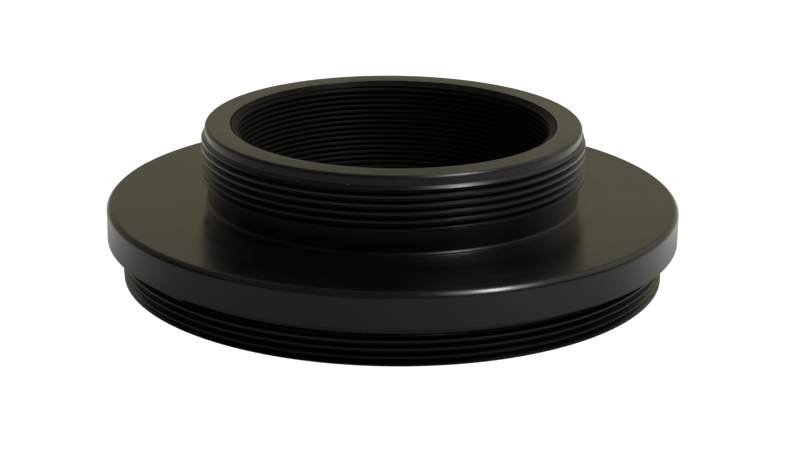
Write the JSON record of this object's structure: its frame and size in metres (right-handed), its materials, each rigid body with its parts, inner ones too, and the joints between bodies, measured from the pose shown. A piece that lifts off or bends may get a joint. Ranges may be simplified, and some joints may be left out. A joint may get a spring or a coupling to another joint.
{
  "type": "rotating thread coupling ring",
  "caption": "Turned coupling ring with a rotating threaded nose, a wide flange, a lower male thread and a ribbed female-threaded bore.",
  "frame": {"origin": "on the ring's axis, in the plane of the lower end of the threaded skirt, on which the part stands", "axes": "+Z along the axis, from the lower thread to the nose; X and Y are any two directions across the axis"},
  "size_m": [0.076, 0.076, 0.0203],
  "materials": {
    "flange_black": "black anodised, fine turned, satin gloss",
    "nose_black": "black anodised, fine turned, satin gloss",
    "sleeve_black": "black anodised, matt thread ribs",
    "washer_white": "natural low-friction plastic sheet",
    "ring_black": "black anodised, turned and slotted"
  },
  "bodies": {
    "flange": {"flange_ring": "flange_black", "upper_glide_washer": "washer_white"},
    "nose": {"nose_tube": "nose_black", "threaded_sleeve": "sleeve_black"},
    "drag_washer": {"lower_glide_washer": "washer_white"},
    "retainer": {"retaining_ring": "ring_black"}
  },
  "joints": [
    {"name": "nose_rotation", "type": "hinge", "parent": "flange", "child": "nose", "pos_m": [0, 0, 0.0064], "axis": [0, 0, 1], "continuous": true},
    {"name": "retainer_travel", "type": "slide", "parent": "flange", "child": "drag_washer", "axis": [0, 0, 1], "range_m": [-0.00225, 0]},
    {"name": "retainer_turn", "type": "hinge", "parent": "drag_washer", "child": "retainer", "pos_m": [0, 0, 0.00385], "axis": [0, 0, -1], "range_deg": [0, 1080]}
  ],
  "couplings": [
    {"joint": "retainer_travel", "follows": "retainer_turn", "m_per_rad": -0.00011937}
  ]
}
